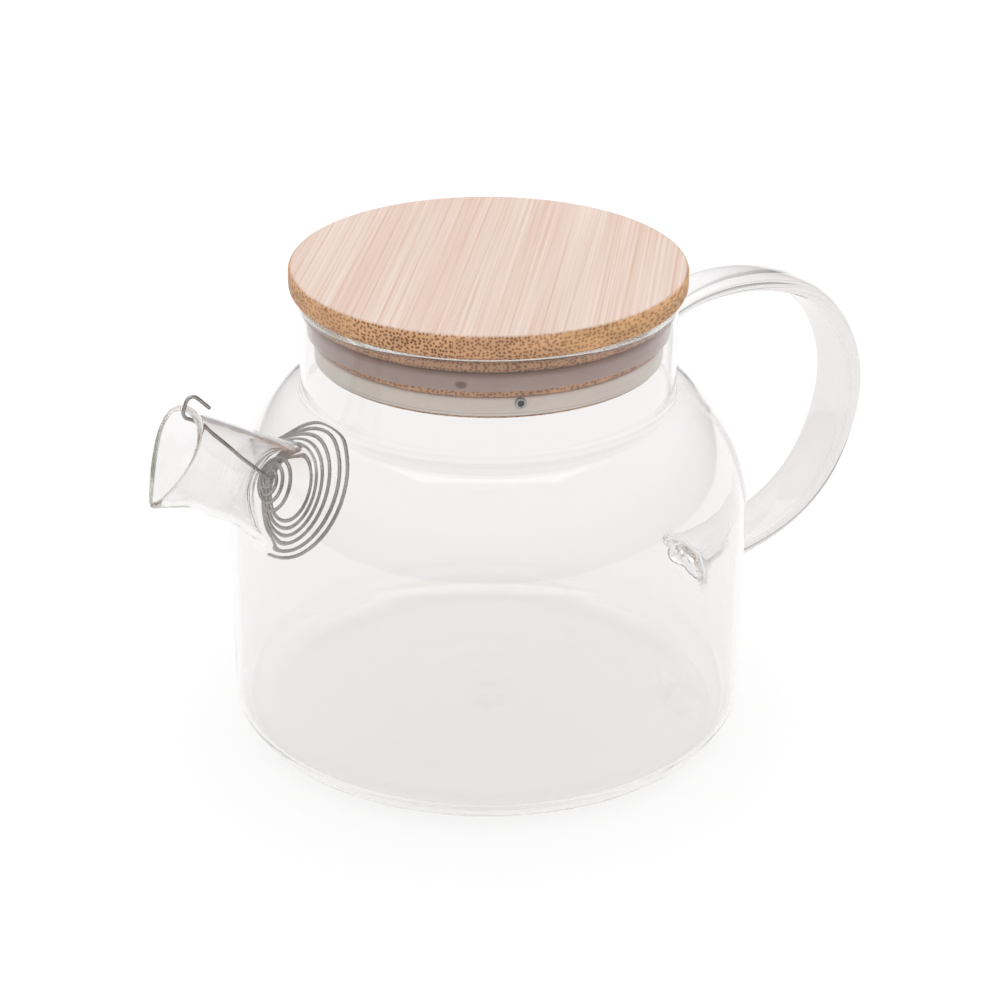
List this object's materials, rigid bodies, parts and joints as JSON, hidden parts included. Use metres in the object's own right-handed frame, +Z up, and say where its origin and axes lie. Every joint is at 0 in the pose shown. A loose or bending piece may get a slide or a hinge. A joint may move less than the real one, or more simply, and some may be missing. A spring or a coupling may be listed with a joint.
{
  "type": "glass teapot",
  "caption": "Clear glass teapot with a bamboo lid, silicone seals, a strap handle and a conical wire spring strainer in its short spout.",
  "frame": {"origin": "centre of the flat underside", "axes": "+Z up, spout towards -X, handle towards +X"},
  "size_m": [0.2121, 0.13, 0.1214],
  "materials": {
    "glass": "clear, polished borosilicate",
    "bamboo": "sanded and lightly oiled, dotted end grain on the edge",
    "silicone": "translucent satin silicone",
    "steel": "bright stainless wire"
  },
  "bodies": {
    "pot": {"glass_body": "glass", "glass_spout": "glass", "glass_handle": "glass", "strainer_coil": "steel"},
    "strainer": {"strainer_hook": "steel"},
    "seal": {"upper_seal": "silicone"},
    "lid": {"lid_stave_1": "bamboo", "lid_stave_2": "bamboo", "lid_stave_3": "bamboo", "lid_stave_4": "bamboo", "lid_plug": "bamboo", "lower_seal": "silicone", "seal_pin": "steel"}
  },
  "joints": [
    {"name": "hook_pull", "type": "slide", "parent": "pot", "child": "strainer", "axis": [-0.8949, 0, 0.4462], "range_m": [0, 0.004], "stiffness_N_per_m": 40, "deforming": ["strainer_coil"]},
    {"name": "lid_lift", "type": "slide", "parent": "pot", "child": "seal", "axis": [0, 0, 1], "range_m": [0, 0.06]},
    {"name": "lid_turn", "type": "hinge", "parent": "seal", "child": "lid", "pos_m": [0, 0, 0.11], "axis": [0, 0, 1], "continuous": true}
  ]
}
